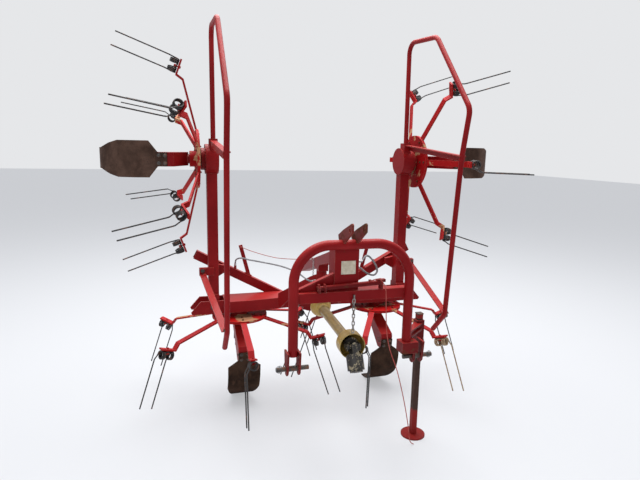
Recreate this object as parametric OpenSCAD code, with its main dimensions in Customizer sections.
// Mounted hay tedder with four spring-tine rotors, parked with both wings folded up.
// X runs across the machine and Z up. The tractor couples on at the front, towards -Y.
// Y in the modules is counted from the line of the inner rotors, and placed() sets it.

/* [Machine] */
// Spacing of the two inner rotors
inner_spacing = 1152; // [1100:1:1250]
// Distance from a fold hinge to its wing rotor
wing_reach = 1106; // [1060:1:1200]
// Fold hinge from the machine's centre line
hinge_x = 775; // [760:1:820]
// Height of the beam's centre line and of the fold hinges
beam_z = 765; // [740:1:800]
// Lower hitch pins in front of the inner rotors
hitch_reach = 1080; // [1040:1:1150]
// Lower hitch pins from the centre line
hitch_half = 412.5; // [400:0.5:440]
// Height of the lower hitch pins
hitch_z = 665; // [640:1:690]

/* [Main beam] */
// Height of the box beam
beam_h = 86; // [76:1:100]
// Wall of the box beam
beam_wall = 8; // [5:1:12]
// Width of the beam in the middle
beam_mid_w = 184; // [176:1:190]
// How much the beam's front edge flares towards the rotors
beam_flare = 30; // [0:1:50]
// Reach of the beam's closed part from the centre line
beam_half = 700; // [690:1:708]
// Thickness of the hinge ears
ear_t = 12; // [8:1:16]
// Reach of the hinge ears from the centre line
ear_reach = 950; // [900:1:1000]
// Diameter of a fold hinge pin
hinge_pin_d = 40; // [30:1:46]

/* [Rotors] */
// Arms on each rotor
arm_count = 6; // [5:1:7]
// Radius of the circle on which the tine coils sit
coil_circle = 649; // [600:1:680]
// Height of the rotor dish
dish_z = 668; // [650:1:680]
// Height of the tine coils
coil_z = 513; // [480:1:560]
// Radius of the rotor dish
dish_r = 212; // [195:1:220]
// Thickness of the dish plate
dish_t = 6; // [4:1:10]
// Width of an arm's flat bar
arm_w = 44; // [36:1:50]
// Thickness of an arm's flat bar
arm_t = 12; // [8:1:16]
// Diameter of the fixed neck that the rotor turns on
neck_d = 70; // [60:1:80]
// Diameter of a wing's gear housing
housing_d = 216; // [180:1:230]
// Height of a wing's gear housing
housing_h = 94; // [86:1:104]

/* [Tines] */
// Wire of the tines
wire_d = 9.5; // [8:0.5:11]
// Outer diameter of a coil
coil_d = 68; // [60:1:76]
// Length of one coil
coil_len = 44; // [40:1:48]
// Spacing of the two coils on an arm
coil_gap = 62; // [60:1:70]
// Length of a prong below its coil
prong_len = 403.9; // [360:0.1:430]
// How far a tine and the pad that holds it tilt outwards, in degrees
tine_tilt = 20; // [12:1:26]
// How far a prong's knee stands behind its coil
knee_trail = 24; // [10:1:32]
// How far a prong trails behind its knee
prong_trail = 8; // [0:1:40]

/* [Skids] */
// Radius of the skid's curve
skid_r = 320; // [280:1:340]
// Thickness of the skid plate
skid_t = 9; // [6:1:14]
// Width of the skid's sole
sole_w = 244; // [200:1:260]
// Width of the skid's shank and of its leg
shank_w = 95; // [80:1:110]

/* [Wings] */
// Width of the folding post
post_w = 76; // [66:1:80]
// Depth of the folding post's tube
post_deep = 80; // [70:1:90]
// Length of the folding post's foot along the hinge pin
post_depth = 118; // [100:1:120]
// Diameter of the guard's tube
guard_d = 35; // [28:1:42]

/* [Headstock] */
// Diameter of the hitch loop's tube
loop_d = 60; // [50:1:70]
// Bend radius of the loop's corners
loop_bend = 220; // [180:1:260]
// Height of the loop's top
loop_top = 1408; // [1350:1:1450]
// Height of the crossbar's centre
crossbar_z = 1090; // [1060:1:1120]
// Height of the crossbar
crossbar_h = 62; // [50:1:76]
// Diameter of a lower hitch pin's free ends
hitch_pin_d = 28; // [22:0.5:30]
// Diameter of a lower hitch pin between the lugs
hitch_core_d = 34; // [32:0.5:36]
// Reach of the top link plates in front of the loop
plate_reach = 164; // [150:1:180]
// Diameter of the top link hole
top_hole_d = 25.5; // [19:0.5:32]
// Height of the top link hole
top_hole_z = 1514; // [1505:1:1520]
// Top link hole in front of the loop
top_hole_y = 128; // [118:1:132]
// Diameter of the pin that the headstock swings on
swing_pin_d = 44; // [36:1:50]

/* [Stand] */
// Side of the stand leg's square tube
stand_tube = 38; // [30:1:44]
// Diameter of the stand's foot
foot_d = 166; // [120:1:180]

/* [Hidden] */
$fn = 48;
eps = 0.01;
hinge_z = beam_z;
rotor_x = inner_spacing / 2;
wing_x = hinge_x + wing_reach;
seat = 0.3;
pin_play = 0.1;
run_gap = 5;
bend_reach = 3;
bend_swell = 0.4;

// How far the machine reaches before and behind the rotors' line
prong_half = (coil_gap + coil_len - wire_d - 2) / 2;
tip_circle = coil_circle + cos(tine_tilt) * (prong_half + wire_d / 2) + sin(tine_tilt) * prong_len;
rotor_y = (hitch_reach + plate_reach - tip_circle) / 2;

// Turn of the wire's bridge round the coils' axis, away from the prongs
bridge_turn = 32;

// Headstock frame: the loop stands a little to one side of the pins' middle
headstock_x = -32;
column_x = -74;
column_half = 77;
loop_left_x = -hitch_half + 2;
loop_right_x = 331;
loop_y = -hitch_reach;
swing_y = -400;
swing_top = 1095;
swing_bottom = 925;
column_back = loop_y + 144;
arm_skew = atan2(headstock_x - column_x, swing_y - column_back);

// Skid curve, seen from the side: centre of its arc
skid_y = 75;
skid_top_z = 452;
leg_foot = [-253, 372];
leg_brow = [-265, 470];
shoulder_z = 392;
sole_top_z = 335;
sole_low_z = 135;

// Guard, seen from the side when folded: y and z of its corners, the upper ones from the wing's axle
axle_z = hinge_z + wing_reach;
GUARD = [[-52, axle_z + 147], [-36, axle_z + 917], [-462, axle_z + 885], [-945, axle_z + 359],
    [-886, axle_z + 59], [-802, hinge_z + 55], [-655, hinge_z - 101]];
GUARD_BEND = [80, 105, 85, 400, 60];
guard_x = 765;

// Upper end of the strut between post and guard
strut_x = 858;
strut_z = hinge_z + 261;
strut_foot = [guard_x + 12, -796, hinge_z + 61];

// Fold ram: pivot on the frame and pin on the wing
ram_pivot = [180, 745];
ram_pin = [700, 1028];
ram_w = 58;
ram_y = beam_mid_w / 2 + run_gap + ram_w / 2;
ram_h = 67;
ram_len = 820;
ram_angle = atan2(ram_pin[1] - ram_pivot[1], ram_pin[0] - ram_pivot[0]);
ram_reach = norm(ram_pin - ram_pivot);
ram_pin_d = 24;
rod_d = 25;

// Stand leg
stand_x = 504;
stand_y = -915;
sleeve_low = 650;
sleeve_high = 845;
stand_top = 885;

// Drive shaft
pto_z = beam_z + 15;
pto_rear_y = -290;
pto_side = 36;
pto_drop = 8;
guard_len = 800;
yoke_droop = 58;
yoke_len = 150;
joint_out = 14;
spline_d = 35.2;
stub_end_y = -268;

// Fittings that the hoses come out of: y and z on the column's right side, and x and z at the boom
HOSE_CLIPS = [[loop_y + 80, 1285], [loop_y + 130, 1235]];
clip_reach = 14;
boom_clip = [-86, 1010];
elbow = [592, 1032];

// Routes of the cords: the stand's pull rope from the lock link to the ground, a hose from above
// the left fold ram to the boom, and a hose from the column's side over the crossbar
STAND_ROPE = [[73, -1074, 1177], [73, -1086, 1177], [84, -1096, 1188], [127, -1099, 1189], [158, -1110, 1135], [160, -1122, 1060],
    [172, -1122, 870], [212, -1100, 728], [290, -1062, 555], [360, -1040, 330], [405, -1030, 142],
    [424, -1030, 30], [450, -1036, 5]];
LEFT_HOSE = [[-592, 118, 1032.6], [-592, 117, 1052], [-586, 96, 1086], [-556, 40, 1108], [-500, -30, 1106], [-417, -100, 1100],
    [-298, -200, 1088], [-200, -300, 1062], [-140, -380, 1022], [-112, -399, 1011], [-86.8, -400, 1010]];
RIGHT_HOSE = [[17.8, -1000, 1285], [40, -1000, 1286], [75, -980, 1312], [112, -960, 1298], [150, -955, 1250],
    [166, -955, 1205], [142, -955, 1180], [95, -955, 1195], [60, -952, 1224], [36, -950, 1235], [17.8, -950, 1235]];

// Puts the rotors' line at its place in the machine's frame
module placed() {
    translate([0, rotor_y, 0]) children();
}

// Draws a right-hand piece on the side asked for
module on_side(side) {
    mirror([side < 0 ? 1 : 0, 0, 0]) children();
}

module both_sides() {
    children();
    mirror([1, 0, 0]) children();
}

// Lifts a piece of the right wing from its working place to its folded place
module folded() {
    translate([hinge_x, 0, hinge_z]) rotate([0, -90, 0]) translate([-hinge_x, 0, -hinge_z]) children();
}

// Straight round bar between two points
module round_bar(a, b, d) {
    way = b - a;
    translate(a) rotate([0, acos(way[2] / norm(way)), atan2(way[1], way[0])]) cylinder(h = norm(way), d = d);
}

// Straight flat bar between two points, its width turned by roll about its length
module flat_bar(a, b, w, t, roll = 0) {
    way = b - a;
    translate(a) rotate([0, acos(way[2] / norm(way)), atan2(way[1], way[0])]) rotate([0, 0, roll])
        translate([-w / 2, -t / 2, 0]) cube([w, t, norm(way)]);
}

function unit(v) = v / norm(v);
function turn_of(a, b) = atan2(a[0] * b[1] - a[1] * b[0], a * b);
function bend_run(path, bends, i) =
    i <= 0 || i >= len(path) - 1 ? 0
    : bends[i - 1] * tan(abs(turn_of(path[i] - path[i - 1], path[i + 1] - path[i])) / 2);

// Round tube bent in the XY plane along a path, with a bend radius at each inner corner.
// A bend is a hair thicker than the straights, which reach a little way into it.
module bent_tube(path, bends, d) {
    for (i = [0 : len(path) - 2]) {
        way = unit(path[i + 1] - path[i]);
        from = path[i] + way * (i == 0 ? 0 : bend_run(path, bends, i) - bend_reach);
        to = path[i + 1] - way * (i == len(path) - 2 ? 0 : bend_run(path, bends, i + 1) - bend_reach);
        round_bar([from[0], from[1], 0], [to[0], to[1], 0], d);
    }
    for (i = [1 : len(path) - 2]) {
        way = unit(path[i] - path[i - 1]);
        turn = turn_of(path[i] - path[i - 1], path[i + 1] - path[i]);
        from = path[i] - way * bend_run(path, bends, i);
        hand = turn > 0 ? 1 : -1;
        translate([from[0], from[1], 0]) rotate([0, 0, atan2(way[1], way[0]) + 90 * hand])
            translate([bends[i - 1], 0, 0]) rotate([0, 0, hand > 0 ? 180 : 180 - abs(turn)])
                rotate_extrude(angle = abs(turn)) translate([bends[i - 1], 0]) circle(d = d + bend_swell);
    }
}

// One edge of a bent strip: its path moved sideways, with mitred corners
function strip_edge(path, off) = [for (i = [0 : len(path) - 1])
    let (before = unit(path[max(i, 1)] - path[max(i, 1) - 1]),
        after = unit(path[min(i + 1, len(path) - 1)] - path[min(i, len(path) - 2)]),
        side = [-before[1] - after[1], before[0] + after[0]])
    path[i] + side * 2 * off / (side * side)];

function strip(path, t) = concat(strip_edge(path, t / 2), [for (i = [len(path) - 1 : -1 : 0])
    strip_edge(path, -t / 2)[i]]);

// Side view outline drawn in YZ and given a width across X
module side_plate(points, x0, x1) {
    translate([x0, 0, 0]) rotate([90, 0, 90]) linear_extrude(x1 - x0) polygon(points);
}

// Front view outline drawn in XZ and given a depth along Y
module front_plate(points, y0, y1) {
    translate([0, y1, 0]) rotate([90, 0, 0]) linear_extrude(y1 - y0) polygon(points);
}

// Main beam: an inverted channel over the rotor housings, with the hinge ears at its ends
module beam_outline(inset) {
    back = beam_mid_w / 2 - inset;
    flared = back + beam_flare;
    half = beam_half - inset;
    polygon([[-half, -flared], [-520, -flared], [-220, -back], [220, -back], [520, -flared], [half, -flared],
        [half, back], [-half, back]]);
}

module hinge_ear() {
    low = beam_z - beam_h / 2 - 14;
    high = beam_z + beam_h / 2;
    front_plate([[beam_half - 60, low + 14], [beam_half, low], [ear_reach - 10, low], [ear_reach, low + 18],
        [ear_reach - 72, high], [beam_half - 60, high]], 0, ear_t);
}

module main_beam() {
    inner = post_depth / 2 + run_gap;
    color("firebrick") {
        difference() {
            translate([0, 0, beam_z - beam_h / 2]) linear_extrude(beam_h) beam_outline(0);
            translate([0, 0, beam_z - beam_h / 2 - beam_wall]) linear_extrude(beam_h) beam_outline(beam_wall);
            for (side = [-1, 1]) translate([side * beam_half, 0, beam_z]) rotate([0, 90, 0])
                cylinder(h = 4 * beam_wall, d = 60, center = true);
            translate([0, -beam_mid_w / 2 + 2 * beam_wall, pto_z]) rotate([90, 0, 0])
                cylinder(h = 4 * beam_wall, d = 39);
        }
        both_sides() {
            translate([0, inner, 0]) hinge_ear();
            translate([0, -inner - ear_t, 0]) hinge_ear();
            translate([hinge_x, -inner - ear_t - 12, hinge_z]) rotate([-90, 0, 0])
                cylinder(h = 2 * (inner + ear_t + 12), d = hinge_pin_d);
            ram_anchor();
        }
    }
}

// Boss and pin behind the beam that hold a fold ram's inner end
module ram_anchor() {
    back = beam_mid_w / 2;
    translate([ram_pivot[0], back - beam_wall, ram_pivot[1]]) rotate([-90, 0, 0]) {
        cylinder(h = ram_y - ram_w / 2 - seat - back + beam_wall, d = 44);
        cylinder(h = ram_y + ram_w / 2 + 14 - back + beam_wall, d = ram_pin_d);
    }
    translate([ram_pivot[0], ram_y + ram_w / 2 + seat, ram_pivot[1]]) rotate([-90, 0, 0])
        cylinder(h = 8, d = 40);
}

// Closed gear train under the beam: the central box with its input shaft towards the tractor,
// the cross shafts and the fixed necks that the inner rotors turn on
module neck(top) {
    translate([0, 0, 560]) cylinder(h = top - 560, d = neck_d);
    translate([0, 0, dish_z + 22]) cylinder(h = top - dish_z - 22, d = 160);
}

module gearbox() {
    top = beam_z + beam_h / 2 - beam_wall;
    half = beam_mid_w / 2 - beam_wall - 1;
    low = beam_z - 75;
    shaft_d = 35;
    color("firebrick") {
        translate([-80, -half, low]) cube([160, 2 * half, top - low]);
        translate([0, 0, low + eps]) mirror([0, 0, 1]) cylinder(h = 24, d1 = 130, d2 = 96);
        translate([0, -half, pto_z]) rotate([90, 0, 0]) cylinder(h = -half - stub_end_y, d = shaft_d);
        translate([-rotor_x - 136, 0, beam_z]) rotate([0, 90, 0]) cylinder(h = 2 * rotor_x + 272, d = shaft_d);
        both_sides() translate([rotor_x, 0, 0]) neck(top);
    }
}

// Boom from the beam forward and up to the tube of the swing pin
module swing_boom() {
    splay = 36;
    color("firebrick") difference() {
        union() {
            translate([headstock_x, swing_y, swing_bottom + seat]) cylinder(h = swing_top - swing_bottom - 2 * seat, d = 76);
            translate([boom_clip[0], swing_y, boom_clip[1]]) rotate([0, 90, 0])
                cylinder(h = headstock_x - 24 - boom_clip[0], d = 20);
            for (side = [-1, 1]) translate([headstock_x + side * 32, swing_y, 0]) rotate([0, 0, side * -splay])
                side_plate([[-15, 955], [60, 905], [230, 850], [350, 735], [440, 735], [440, 806], [60, 1035],
                    [-15, 1070]], -6, 6);
        }
        linear_extrude(1200) beam_outline(-seat);
        translate([headstock_x, swing_y, swing_bottom - 10]) cylinder(h = 400, d = swing_pin_d + 2 * pin_play);
    }
}

module skid_leg() {
    half = shank_w / 2;
    color("firebrick") difference() {
        union() {
            difference() {
                side_plate([[46, 600], [46, 556], [-20, 516], [-190, 372], leg_foot, leg_brow, [-258, 494],
                    [-20, 600]], -half, half);
                side_plate([[60, 592], [60, 500], [-20, 500], [-190, 340], [-244, 340], [-255, 470],
                    [-252, 486], [-20, 592]], -half + 7, half - 7);
            }
            translate([0, 0, 545]) cylinder(h = 50, d = 88);
        }
        translate([0, 0, 500]) cylinder(h = 140, d = neck_d + 2 * seat);
    }
}

module skid_outline() {
    half = sole_w / 2;
    shank = shank_w / 2;
    polygon([[shank, skid_top_z], [shank, shoulder_z], [half, sole_top_z], [half, sole_low_z],
        [half - 18, sole_low_z - 55], [half - 50, 20], [half - 54, -20],
        [54 - half, -20], [50 - half, 20], [18 - half, sole_low_z - 55], [-half, sole_low_z],
        [-half, sole_top_z], [-shank, shoulder_z], [-shank, skid_top_z]]);
}

// Skid shoe: a shank that lies on the leg's front and a sole curved back under the rotor
module skid() {
    lean = (leg_brow - leg_foot) / norm(leg_brow - leg_foot);
    out = [-lean[1], lean[0]];
    high = leg_foot + lean * (skid_top_z - leg_foot[1]) / lean[1] + out * seat;
    low = leg_foot + out * seat;
    color("saddlebrown") intersection() {
        rotate([90, 0, 0]) linear_extrude(1000, center = true) skid_outline();
        union() {
            translate([0, skid_y, skid_r]) rotate([0, 90, 0]) rotate([0, 0, -90])
                rotate_extrude(angle = 90) translate([skid_r - skid_t, -sole_w]) square([skid_t, 2 * sole_w]);
            side_plate([[skid_y - skid_r, skid_r], [skid_y - skid_r + skid_t, skid_r], low, high,
                high + out * skid_t, low + out * skid_t], -sole_w, sole_w);
        }
    }
}

module skid_legs() {
    for (side = [-1, 1]) translate([side * rotor_x, 0, 0]) skid_leg();
}

module skids() {
    for (side = [-1, 1]) translate([side * rotor_x, 0, 0]) skid();
}

module hitch_loop() {
    color("firebrick") translate([0, loop_y, 0]) rotate([90, 0, 0])
        bent_tube([[loop_left_x, 745], [loop_left_x, loop_top], [loop_right_x, loop_top], [loop_right_x, 720]],
            [loop_bend, loop_bend + 15], loop_d);
}

module crossbar() {
    half = crossbar_h / 2;
    color("firebrick") difference() {
        translate([loop_left_x, loop_y + 4, crossbar_z - half])
            cube([loop_right_x - loop_left_x, 60, crossbar_h]);
        for (x = [loop_left_x, loop_right_x]) translate([x, loop_y, crossbar_z - crossbar_h])
            cylinder(h = 2 * crossbar_h, d = loop_d + 2 * seat);
    }
}

// Box under the loop's top, with a flanged gusset down to the crossbar on its left
module column() {
    low = crossbar_z + crossbar_h / 2 + seat;
    left = column_x - column_half;
    front = loop_y + loop_d / 2 + seat;
    foot = [-385, 1126];
    head = [left + 8, 1226];
    color("firebrick") {
        translate([left, front, low]) cube([2 * column_half, column_back - front, loop_top - low]);
        front_plate([[foot[0], low], [head[0], low], head, foot], loop_y + 44, loop_y + 52);
        front_plate(strip([foot, head], 8), loop_y + 40, loop_y + 72);
        for (at = HOSE_CLIPS) translate([column_x + column_half - 1, at[0], at[1]]) rotate([0, 90, 0])
            cylinder(h = clip_reach + 1, d = 20);
    }
}

// Arms from the column back to the swing pin, set askew as the column stands beside the pin
module swing_arm() {
    half = 36;
    top = 1352;
    depth = 72;
    front = loop_y + 64 + seat;
    color("firebrick") {
        difference() {
            translate([headstock_x, swing_y, 0]) rotate([0, 0, -arm_skew]) translate([0, -swing_y, 0])
                side_plate([[column_back - 20, top + 6], [233, 1000], [229, 930], [swing_y + 60, 1104],
                    [swing_y + 60, swing_top], [swing_y - 60, swing_top], [swing_y - 60, 1141],
                    [column_back - 20, top + 6 - depth - 4]], -half, half);
            translate([column_x - 200, loop_y, 1000]) cube([400, column_back + seat - loop_y, 500]);
        }
        translate([headstock_x, swing_y, swing_bottom - 10])
            cylinder(h = swing_top + 30 - swing_bottom, d = swing_pin_d);
        translate([headstock_x, 0, 0]) side_plate([[front, crossbar_z + 20], [front, crossbar_z - 25],
            [swing_y - 40, swing_bottom - 25], [swing_y + 40, swing_bottom - 25], [swing_y + 40, swing_bottom],
            [swing_y - 40, swing_bottom]], -30, 30);
    }
}

// Two plates over the loop that reach forward and up to the top link's pin
module top_link_bracket() {
    t = 12;
    half = 47;
    tip = loop_y - plate_reach;
    color("firebrick") translate([column_x, 0, 0]) difference() {
        for (x = [-half, half - t]) side_plate([[loop_y + 70, 1458], [loop_y - 20, 1502], [tip + 12, 1556],
            [tip, 1548], [tip, 1506], [loop_y - 34, 1420], [loop_y + 34, 1420], [loop_y + 62, 1434]], x, x + t);
        translate([-2 * half, loop_y - top_hole_y, top_hole_z]) rotate([0, 90, 0])
            cylinder(h = 4 * half, d = top_hole_d);
        translate([-6 * half, loop_y, loop_top]) rotate([0, 90, 0]) cylinder(h = 12 * half, d = loop_d + 2 * seat);
    }
}

module lug_plate(x) {
    side_plate([[loop_y - 45, 772], [loop_y + 45, 772], [loop_y + 30, hitch_z - 20],
        [loop_y + 12, hitch_z - 40], [loop_y - 12, hitch_z - 40], [loop_y - 30, hitch_z - 20]], x, x + 12);
}

// Clevis under the left leg and a block with two ears under the right one
module hitch_lugs() {
    color("firebrick") difference() {
        union() {
            lug_plate(loop_left_x - loop_d / 2 - seat - 12);
            lug_plate(loop_left_x + loop_d / 2 + seat);
            translate([loop_right_x - 45, loop_y - 45, 700]) cube([110, 90, 72]);
            for (x = [hitch_half - 42, hitch_half + 14]) lug_plate(x);
        }
        translate([-600, loop_y, hitch_z]) rotate([0, 90, 0]) cylinder(h = 1200, d = hitch_core_d + 2 * seat);
        translate([loop_right_x, loop_y, 720 - seat]) cylinder(h = 400, d = loop_d + 2 * seat);
    }
}

// Lower hitch pins, thicker where they sit in the lugs
module hitch_pins() {
    left_core = loop_left_x - loop_d / 2 - 16;
    right_core = hitch_half - 46;
    color("dimgray") {
        for (x = [-hitch_half, hitch_half]) translate([x - 100, loop_y, hitch_z]) rotate([0, 90, 0])
            cylinder(h = 200, d = hitch_pin_d);
        translate([left_core, loop_y, hitch_z]) rotate([0, 90, 0]) cylinder(h = loop_d + 32, d = hitch_core_d);
        translate([right_core, loop_y, hitch_z]) rotate([0, 90, 0]) cylinder(h = 76, d = hitch_core_d);
    }
}

// Locking bar that lies over the crossbar, in a fork at its left end and under a strap at its right
module lock_link() {
    low = crossbar_z + crossbar_h / 2;
    bar_d = 30;
    left = -236;
    right = 150;
    y = loop_y + 14;
    color("firebrick") {
        round_bar([left - 28, y, low + 23], [right, y, low + 42], bar_d);
        for (x = [left - 24, left + 12]) side_plate([[y - 24, low], [y + 24, low], [y + 24, low + 30],
            [y + 10, low + 50], [y - 10, low + 50], [y - 24, low + 30]], x, x + 12);
        translate([right - 12, y - 20, low]) cube([14, 40, 62]);
        translate([right - 34, y - 12, low + 44]) cube([56, 24, 18]);
        translate([65, y - 8, low + 40]) cube([16, 16, 21]);
    }
}

module stand_sleeve() {
    half = stand_tube / 2;
    color("firebrick") difference() {
        union() {
            translate([stand_x - half - 8, stand_y - half - 8, sleeve_low])
                cube([2 * half + 16, 2 * half + 16, sleeve_high - sleeve_low]);
            for (z = [sleeve_low + 125, sleeve_high - 30]) translate([0, 0, z]) linear_extrude(12)
                polygon([[loop_right_x + 8, loop_y + 24], [loop_right_x + 26, loop_y + 4],
                    [stand_x + half, stand_y - half - 2], [stand_x - half - 2, stand_y + half]]);
        }
        translate([stand_x - half - seat, stand_y - half - seat, sleeve_low - 1])
            cube([stand_tube + 2 * seat, stand_tube + 2 * seat, sleeve_high - sleeve_low + 2]);
        translate([loop_right_x, loop_y, 600]) cylinder(h = 400, d = loop_d + 2 * seat);
    }
}

module stand() {
    color("saddlebrown") {
        translate([stand_x - stand_tube / 2, stand_y - stand_tube / 2, 10])
            cube([stand_tube, stand_tube, stand_top - 10]);
        translate([stand_x, stand_y, 0]) cylinder(h = 12, d = foot_d);
    }
}

// Along the drive shaft: its own frame runs forward and a little aside
module along_shaft() {
    translate([0, pto_rear_y, pto_z]) rotate([0, 0, -atan2(pto_side, guard_len)])
        rotate([90 + atan2(pto_drop, guard_len), 0, 0]) children();
}

module pto_guard() {
    rear = 80;
    bell = 82;
    collar = 41;
    tube = 34;
    wall = 4;
    cup = guard_len - 92;
    color("goldenrod") along_shaft() rotate_extrude() polygon([[rear, 0], [rear - 2, 16], [56, 58], [collar, 66],
        [collar, 112], [tube, 116], [tube, cup - 32], [bell - 10, cup], [bell, cup + 12], [bell, guard_len],
        [bell - wall, guard_len], [bell - wall, cup + 14], [bell - 12, cup + 5], [tube - wall, cup - 28],
        [tube - wall, 62], [54, 54], [rear - wall - 2, 14], [rear - wall, 0]]);
    }

// Fork of the universal joint: a hub plate behind the joint's centre and an eye on each side of it
module fork(hub_d) {
    eye = 44;
    gap = 30;
    thick = 14;
    reach = 44;
    translate([0, 0, -reach - 12]) cylinder(h = 12, d = hub_d);
    for (x = [gap, -gap - thick]) {
        translate([x, 0, 0]) rotate([0, 90, 0]) cylinder(h = thick, d = eye);
        translate([x, 3 - eye / 2, -reach]) cube([thick, eye - 6, reach]);
    }
}

// Shaft inside the guard, with a bearing ring near each end and a universal joint that hangs its yoke
module pto_shaft() {
    ring = 2 * (30 - seat);
    pin = 22;
    collar = 104;
    color("dimgray") along_shaft() {
        translate([0, 0, 30]) cylinder(h = guard_len + joint_out - 76, d = 40);
        for (at = [135, guard_len - 220]) translate([0, 0, at]) cylinder(h = 16, d = ring);
        cylinder(h = 50, d = 88);
        translate([0, 0, guard_len + joint_out]) {
            fork(92);
            rotate([0, 90, 0]) cylinder(h = 96, d = pin, center = true);
            rotate([yoke_droop, 0, 0]) {
                rotate([180, 0, 90]) fork(90);
                rotate([90, 0, 0]) cylinder(h = 96, d = pin, center = true);
                difference() {
                    union() {
                        translate([0, 0, 50]) cylinder(h = yoke_len - 62, d = collar);
                        translate([0, 0, 44]) cylinder(h = yoke_len - 44, d = 80);
                    }
                    translate([0, 0, 60]) cylinder(h = yoke_len, d = spline_d);
                }
            }
        }
    }
}

// Flat oval link of the chain that holds the guard from turning
module link(length, width, wire) {
    half = (length - width) / 2;
    translate([0, 0, -half]) rotate([90, 0, 0]) linear_extrude(wire, center = true) difference() {
        union() {
            for (at = [0, 2 * half]) translate([0, at]) circle(d = width);
            translate([-width / 2, 0]) square([width, 2 * half]);
        }
        for (at = [0, 2 * half]) translate([0, at]) circle(d = width - 2 * wire);
        translate([-width / 2 + wire, 0]) square([width - 2 * wire, 2 * half]);
    }
}

module pto_chain() {
    length = 34;
    wire = 5;
    pitch = length - 2 * wire - 0.5;
    along = (pto_rear_y - loop_y) / guard_len;
    low = pto_z - pto_drop * along + 82 + seat;
    high = crossbar_z + 20;
    count = floor((high - low - length) / pitch);
    x = -pto_side * along;
    color("gray") {
        for (i = [0 : count]) translate([x, loop_y - 6, low + length / 2 + i * pitch])
            rotate([0, 0, 90 * (i % 2)]) link(length, 20, wire);
        translate([x, loop_y + 4 - eps, low + length / 2 + count * pitch + length / 2 - wire - 1]) rotate([90, 0, 0])
            cylinder(h = 18, d = 9);
    }
}

module wing_post() {
    high = hinge_z + wing_reach - housing_d / 2 + 14;
    color("firebrick") {
        difference() {
            union() {
                translate([hinge_x - post_w / 2, -post_deep / 2, hinge_z]) cube([post_w, post_deep, high - hinge_z]);
                translate([hinge_x - post_w / 2, -post_depth / 2, hinge_z]) cube([post_w, post_depth, 90]);
                translate([hinge_x, -post_depth / 2, hinge_z]) rotate([-90, 0, 0])
                    cylinder(h = post_depth, d = post_w);
            }
            translate([hinge_x, -post_depth, hinge_z]) rotate([-90, 0, 0])
                cylinder(h = 2 * post_depth, d = hinge_pin_d + 2 * pin_play);
            translate([hinge_x - post_w, 0, hinge_z + wing_reach]) rotate([0, 90, 0])
                cylinder(h = 2 * post_w, d = housing_d + 2 * seat);
        }
        ram_bracket();
        translate([hinge_x, -post_depth / 2, strut_z - 20])
            cube([strut_x + 24 - hinge_x, (post_depth - post_deep) / 2 + 10, 58]);
    }
}

module wing_housing() {
    color("firebrick") {
        folded() translate([wing_x, 0, 0]) {
            translate([0, 0, beam_z - housing_h / 2]) cylinder(h = housing_h, d = housing_d);
            neck(beam_z - housing_h / 2 + eps);
        }
        translate([guard_x - 30, GUARD[0][0] - 34, GUARD[0][1] - 90]) cube([60, 70, 90 - seat]);
    }
}

// Guard hoop of the wing rotor with its flat brace and the strut that holds its foot
module guard() {
    color("firebrick") {
        translate([guard_x, 0, 0]) rotate([90, 0, 90]) bent_tube(GUARD, GUARD_BEND, guard_d);
        flat_bar([guard_x, GUARD[0][0] - 35 - seat, axle_z + 129], [guard_x, -900, axle_z + 61], 8, 44);
        flat_bar([strut_x, -post_depth / 2 - 8, strut_z - 6], strut_foot, 8, 46);
        translate([strut_x - 24, -post_depth / 2 - 9 - seat, strut_z - 16]) cube([48, 9, 50]);
    }
}

module wing_leg() {
    folded() translate([wing_x, 0, 0]) skid_leg();
}

module wing_skid() {
    folded() translate([wing_x, 0, 0]) skid();
}

// Rotor dish with its turned-down rim, hub and arms; the neck runs through the hub
module rotor(phase) {
    rim = 14;
    color("firebrick") difference() {
        union() {
            rotate_extrude() polygon([[neck_d / 2 - 5, dish_z], [dish_r - dish_t, dish_z], [dish_r - dish_t, dish_z - rim],
                [dish_r, dish_z - rim], [dish_r, dish_z + dish_t], [neck_d / 2 - 5, dish_z + dish_t]]);
            translate([0, 0, dish_z - 58]) cylinder(h = 58 + dish_t + 10, d = neck_d + 44);
            for (i = [0 : arm_count - 1]) rotate([0, 0, phase - 90 + i * 360 / arm_count]) rotor_arm();
        }
        translate([0, 0, dish_z - 100]) cylinder(h = 200, d = neck_d + 2 * pin_play);
    }
}

// Turns to a tine's own frame: its coils lie along X and its prongs hang down
module in_tine() {
    translate([coil_circle, 0, coil_z]) rotate([0, -tine_tilt, 0]) children();
}

function from_tine(x, z) = [coil_circle + x * cos(tine_tilt) - z * sin(tine_tilt),
    coil_z + x * sin(tine_tilt) + z * cos(tine_tilt)];

// Arm of flat bar: along the dish, down and out, a short step, and the pad that a double tine hangs from
module rotor_arm() {
    pad_z = (coil_d + arm_t) / 2 + seat;
    pad_half = (coil_gap + coil_len) / 2 + 2;
    inner = from_tine(-pad_half, pad_z);
    rotate([90, 0, 0]) linear_extrude(arm_w, center = true) polygon(strip([[neck_d / 2 + 10, dish_z - arm_t / 2 + 1],
        [dish_r - 20, dish_z - arm_t / 2 + 1], inner + [-32, 44], inner, from_tine(pad_half, pad_z)], arm_t));
    in_tine() tine_clamp(pad_z);
}

// Bolt through the pad between the coils, with the plate that grips the wire's bridge
module tine_clamp(pad_z) {
    bolt_d = 10;
    plate_low = bridge_z() - wire_d / 2 - seat - 6;
    translate([0, 0, plate_low - 8]) cylinder(h = pad_z - plate_low + 8, d = bolt_d, $fn = 12);
    translate([-7, -arm_w / 2, plate_low]) cube([14, arm_w, 6]);
    for (z = [pad_z + arm_t / 2 - eps, plate_low - 8]) translate([0, 0, z])
        cylinder(h = 8, d = 18, $fn = 6);
}

function coil_mid() = (coil_d - wire_d - 2) / 2;
function bridge_z() = coil_mid() * cos(bridge_turn);

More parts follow.
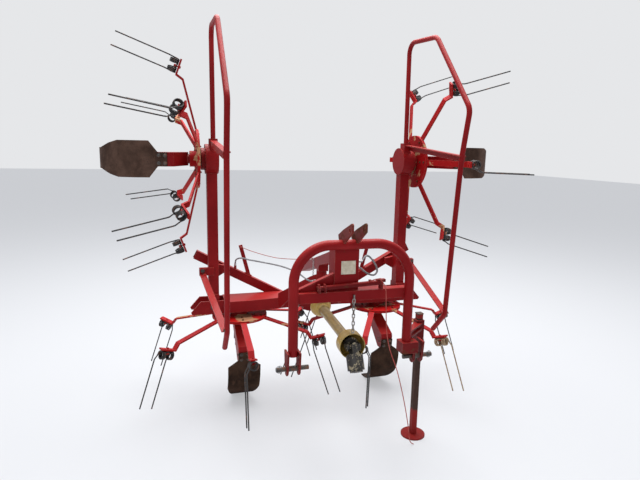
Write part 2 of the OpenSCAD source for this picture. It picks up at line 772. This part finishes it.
// One coil of the tine's wire, its turns side by side
module coil() {
    turns = round(coil_len / wire_d);
    pitch = coil_len / turns;
    outer = coil_d / 2;
    groove = outer - wire_d / 4;
    inner = outer - wire_d - 2;
    ridges = [for (i = [0 : 2 * turns]) [i % 2 == 0 ? groove : outer, i * pitch / 2]];
    rotate([0, 90, 0]) rotate_extrude() polygon(concat([[inner, 0]], ridges, [[inner, coil_len]]));
}

// One double tine: two coils side by side along the arm, each with a kneed prong
module tine(hand) {
    knee_z = -46;
    knee_y = coil_mid() + knee_trail;
    lap = 0.25 * wire_d / 2;
    in_tine() {
        for (side = [-1, 1]) {
            translate([side * coil_gap / 2 - coil_len / 2, 0, 0]) coil();
            start = [side * prong_half, hand * coil_mid(), 0];
            knee = [side * prong_half, hand * knee_y, knee_z];
            tip = [side * prong_half, hand * (knee_y + prong_trail), -prong_len];
            round_bar(start, knee + unit(knee - start) * lap, wire_d);
            round_bar(knee + unit(knee - tip) * lap, tip, wire_d, $fn = 12);
        }
        translate([-10, -hand * coil_mid() * sin(bridge_turn), bridge_z()]) rotate([0, 90, 0])
            cylinder(h = 20, d = wire_d, $fn = 12);
    }
}

module tines(phase, hand) {
    color("dimgray") for (i = [0 : arm_count - 1]) rotate([0, 0, phase - 90 + i * 360 / arm_count]) tine(hand);
}

// Fold ram: a channel that swings on the frame, and the rod that slides in it
module in_ram() {
    translate([ram_pivot[0], ram_y, ram_pivot[1]]) rotate([0, -ram_angle, 0]) children();
}

module ram_guide() {
    barrel_end = 420;
    color("firebrick") in_ram() difference() {
        union() {
            difference() {
                translate([-32, -ram_w / 2, -ram_h / 2]) cube([ram_len + 32, ram_w, ram_h]);
                translate([-40, -ram_w / 2 + 6, -ram_h / 2 - 1]) cube([ram_len + 60, ram_w - 12, ram_h - 5]);
            }
            translate([-30, -ram_w / 2 + 1, -24]) cube([60, ram_w - 2, 48]);
            translate([20, 0, 0]) rotate([0, 90, 0]) cylinder(h = barrel_end - 20, d = 44);
            translate([barrel_end - 30, -ram_w / 2 + 1, -20]) cube([30, ram_w - 2, 40]);
            rotate([0, ram_angle, 0]) translate([elbow[0] - ram_pivot[0], 118 - ram_y, elbow[1] - ram_pivot[1] - 40])
                cylinder(h = 40, d = 20);
        }
        translate([60, 0, 0]) rotate([0, 90, 0]) cylinder(h = 400, d = rod_d + 2 * pin_play);
        rotate([-90, 0, 0]) cylinder(h = 200, d = ram_pin_d + 2 * pin_play, center = true);
    }
}

module latch_lever() {
    color("firebrick") in_ram() {
        translate([370, 0, ram_h / 2 + seat]) rotate([0, 5, 0]) difference() {
            translate([-15, -5, 1.5]) cube([30, 10, 248]);
            translate([0, 0, 228]) rotate([90, 0, 0]) cylinder(h = 40, d = 13, center = true);
        }
        translate([340, -14, ram_h / 2 + seat]) cube([60, 28, 8]);
    }
}

module ram_rod() {
    color("gainsboro") in_ram() difference() {
        union() {
            translate([75, 0, 0]) rotate([0, 90, 0]) cylinder(h = ram_reach - 75, d = rod_d);
            translate([ram_reach, -12, 0]) rotate([-90, 0, 0]) cylinder(h = 24, d = 52);
        }
        translate([ram_reach, -20, 0]) rotate([-90, 0, 0]) cylinder(h = 40, d = ram_pin_d + 1);
    }
}

// Bracket and stub pin on the post for the fold ram's rod
module ram_bracket() {
    back = post_deep / 2;
    face = post_depth / 2 + 14;
    near = ram_y - ram_w / 2 - run_gap;
    color("firebrick") {
        front_plate([[hinge_x - 20, ram_pin[1] - 70], [hinge_x + 20, ram_pin[1] - 20], [hinge_x + 20, ram_pin[1] + 50],
            [ram_pin[0] - 24, ram_pin[1] + 26], [ram_pin[0] - 30, ram_pin[1] - 20]], back - 1, face);
        translate([ram_pin[0], back, ram_pin[1]]) rotate([-90, 0, 0]) cylinder(h = near - back, d = ram_pin_d);
    }
}

// Tube along a hand-chosen route, of rings that stand across it
function catmull(a, b, c, d, t) = 0.5 * (2 * b + (c - a) * t + (2 * a - 5 * b + 4 * c - d) * t * t
    + (3 * b - a - 3 * c + d) * t * t * t);
function route(points, steps) = concat([for (i = [0 : len(points) - 2], j = [0 : steps - 1])
    catmull(points[max(i - 1, 0)], points[i], points[i + 1], points[min(i + 2, len(points) - 1)], j / steps)],
    [points[len(points) - 1]]);

module cord(points, d, steps, sides) {
    line = route(points, steps);
    last = len(line) - 1;
    rings = [for (i = [0 : last]) let (
            way = unit(line[min(i + 1, last)] - line[max(i - 1, 0)]),
            across = unit(cross(way, abs(way[2]) > 0.8 ? [1, 0, 0] : [0, 0, 1])),
            up = cross(across, way))
        for (k = [0 : sides - 1]) line[i] + d / 2 * (across * cos(k * 360 / sides) + up * sin(k * 360 / sides))];
    walls = [for (i = [0 : last - 1], k = [0 : sides - 1], half = [0, 1])
        let (near = i * sides, far = near + sides, next = (k + 1) % sides)
        half == 0 ? [near + k, near + next, far + next] : [near + k, far + next, far + k]];
    ends = [[for (k = [sides - 1 : -1 : 0]) k], [for (k = [0 : sides - 1]) last * sides + k]];
    polyhedron(rings, concat(walls, ends));
}

module stand_rope() {
    color("indianred") cord(STAND_ROPE, 6, 4, 8);
}

module left_hose() {
    color("dimgray") cord(LEFT_HOSE, 12, 5, 8);
}

module right_hose() {
    color("gray") cord(RIGHT_HOSE, 12, 5, 8);
}

placed() main_beam();
placed() gearbox();
placed() swing_boom();
placed() skid_legs();
placed() skids();
placed() hitch_loop();
placed() crossbar();
placed() column();
placed() swing_arm();
placed() top_link_bracket();
placed() hitch_lugs();
placed() hitch_pins();
placed() lock_link();
placed() stand_sleeve();
placed() pto_guard();
placed() pto_shaft();
placed() pto_chain();
placed() stand();
placed() on_side(-1) wing_post();  // wing_post_left
placed() on_side(-1) wing_housing();  // wing_housing_left
placed() on_side(-1) guard();  // guard_left
placed() on_side(-1) wing_leg();  // wing_leg_left
placed() on_side(-1) wing_skid();  // wing_skid_left
placed() wing_post();  // wing_post_right
placed() wing_housing();  // wing_housing_right
placed() guard();  // guard_right
placed() wing_leg();  // wing_leg_right
placed() wing_skid();  // wing_skid_right
placed() on_side(-1) translate([rotor_x, 0, 0]) rotor(0);  // rotor_inner_left
placed() translate([rotor_x, 0, 0]) rotor(30);  // rotor_inner_right
placed() on_side(-1) folded() translate([wing_x, 0, 0]) rotor(30);  // rotor_wing_left
placed() folded() translate([wing_x, 0, 0]) rotor(0);  // rotor_wing_right
placed() on_side(-1) translate([rotor_x, 0, 0]) tines(0, 1);  // tines_inner_left
placed() translate([rotor_x, 0, 0]) tines(30, 1);  // tines_inner_right
placed() on_side(-1) folded() translate([wing_x, 0, 0]) tines(30, -1);  // tines_wing_left
placed() folded() translate([wing_x, 0, 0]) tines(0, -1);  // tines_wing_right
placed() on_side(-1) ram_guide();  // ram_guide_left
placed() on_side(-1) ram_rod();  // ram_rod_left
placed() on_side(-1) latch_lever();  // latch_lever_left
placed() ram_guide();  // ram_guide_right
placed() ram_rod();  // ram_rod_right
placed() latch_lever();  // latch_lever_right
placed() stand_rope();
placed() left_hose();
placed() right_hose();
